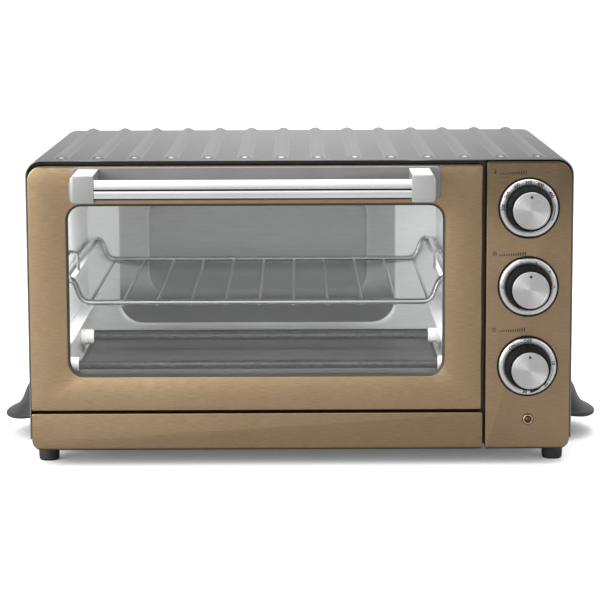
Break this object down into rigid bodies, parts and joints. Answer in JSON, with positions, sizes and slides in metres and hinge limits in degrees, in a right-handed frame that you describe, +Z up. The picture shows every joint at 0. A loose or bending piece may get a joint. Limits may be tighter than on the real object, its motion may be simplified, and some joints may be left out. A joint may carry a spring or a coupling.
{
  "type": "convection toaster oven",
  "caption": "Countertop convection toaster oven with a drop-down glass door, pull-out wire rack, rear crumb tray, turning dials and side carrying handles.",
  "frame": {"origin": "on the table, under the middle of the outer box", "axes": "+Z up, +Y to the back, +X to the viewer's right; the door and dials face -Y"},
  "size_m": [0.4712, 0.384, 0.232],
  "materials": {
    "bronze_steel": "brushed, bronze tinted, horizontal grain",
    "roof_steel": "satin stainless sheet",
    "galvanised_steel": "plain plated sheet",
    "cavity_steel": "aluminised sheet, dull",
    "chrome_wire": "nickel plated wire",
    "heater_sheath": "dark steel sheath",
    "white_ceramic": "unglazed white",
    "window_glass": "clear tempered",
    "grey_casting": "satin grey",
    "bar_chrome": "polished",
    "dial_chrome": "satin ring",
    "black_plastic": "fine matte moulding",
    "knob_plastic": "semi-gloss black",
    "knob_metal": "spun aluminium disc",
    "red_lens": "translucent red",
    "fan_aluminium": "pressed",
    "motor_steel": "lacquered laminations",
    "foot_rubber": "black",
    "screw_steel": "zinc plated"
  },
  "bodies": {
    "cabinet": {"outer_wrap": "roof_steel", "base_pan": "galvanised_steel", "rear_panel": "galvanised_steel", "rear_bulge_cover": "galvanised_steel", "front_frame": "galvanised_steel", "lower_front_strip": "bronze_steel", "control_panel": "bronze_steel", "cavity_left_wall": "cavity_steel", "cavity_right_wall": "cavity_steel", "cavity_ceiling": "cavity_steel", "cavity_floor": "cavity_steel", "cavity_back": "cavity_steel", "rack_guide_left": "cavity_steel", "rack_guide_right": "cavity_steel", "heater_lower_front": "heater_sheath", "heater_lower_rear": "heater_sheath", "heater_upper_front": "heater_sheath", "heater_upper_rear": "heater_sheath", "lower_heater_insulators": "white_ceramic", "upper_heater_insulators": "white_ceramic", "hinge_brackets": "galvanised_steel", "temperature_dial_ring": "dial_chrome", "function_dial_ring": "dial_chrome", "timer_dial_ring": "dial_chrome", "thermostat": "black_plastic", "function_switch": "black_plastic", "timer": "black_plastic", "indicator_bezel": "dial_chrome", "indicator_lens": "red_lens", "fan_housing": "galvanised_steel", "fan_motor": "motor_steel", "front_feet": "foot_rubber", "rear_feet": "foot_rubber", "side_handle_left": "black_plastic", "side_handle_right": "black_plastic", "rear_spacers": "black_plastic", "rear_screws": "screw_steel", "cord_inlet_bushing": "black_plastic"},
    "door": {"door_panel": "bronze_steel", "door_inner_frame": "galvanised_steel", "door_glass": "window_glass", "handle_base_plate": "grey_casting", "handle_cap_left": "grey_casting", "handle_cap_right": "grey_casting", "handle_bar": "bar_chrome", "handle_screws": "screw_steel", "door_hinge_pins": "screw_steel", "rack_hooks": "chrome_wire"},
    "rack": {"oven_rack": "chrome_wire"},
    "crumb_tray": {"crumb_tray": "cavity_steel"},
    "fan": {"fan_blade": "fan_aluminium"},
    "temperature_dial": {"temperature_knob": "knob_plastic", "temperature_knob_face": "knob_metal", "temperature_shaft": "screw_steel"},
    "function_dial": {"function_knob": "knob_plastic", "function_knob_face": "knob_metal", "function_shaft": "screw_steel"},
    "timer_dial": {"timer_knob": "knob_plastic", "timer_knob_face": "knob_metal", "timer_shaft": "screw_steel"}
  },
  "joints": [
    {"name": "door_hinge", "type": "hinge", "parent": "cabinet", "child": "door", "pos_m": [-0.033, -0.142, 0.047], "axis": [1, 0, 0], "range_deg": [0, 86]},
    {"name": "rack_slide", "type": "slide", "parent": "cabinet", "child": "rack", "axis": [0, -1, 0], "range_m": [0, 0.1128]},
    {"name": "crumb_tray_slide", "type": "slide", "parent": "cabinet", "child": "crumb_tray", "axis": [0, 1, 0], "range_m": [0, 0.26]},
    {"name": "temperature_turn", "type": "hinge", "parent": "cabinet", "child": "temperature_dial", "pos_m": [0.1687, -0.156, 0.1938], "axis": [0, 1, 0], "range_deg": [-90, 135]},
    {"name": "function_turn", "type": "hinge", "parent": "cabinet", "child": "function_dial", "pos_m": [0.1687, -0.156, 0.1355], "axis": [0, 1, 0], "range_deg": [-90, 90]},
    {"name": "timer_turn", "type": "hinge", "parent": "cabinet", "child": "timer_dial", "pos_m": [0.1687, -0.156, 0.0758], "axis": [0, 1, 0], "range_deg": [-45, 190]},
    {"name": "fan_spin", "type": "hinge", "parent": "cabinet", "child": "fan", "pos_m": [0.136, 0.029, 0.137], "axis": [1, 0, 0], "continuous": true}
  ],
  "couplings": [
    {"joint": "rack_slide", "follows": "door_hinge", "m_per_rad": 0.075}
  ]
}
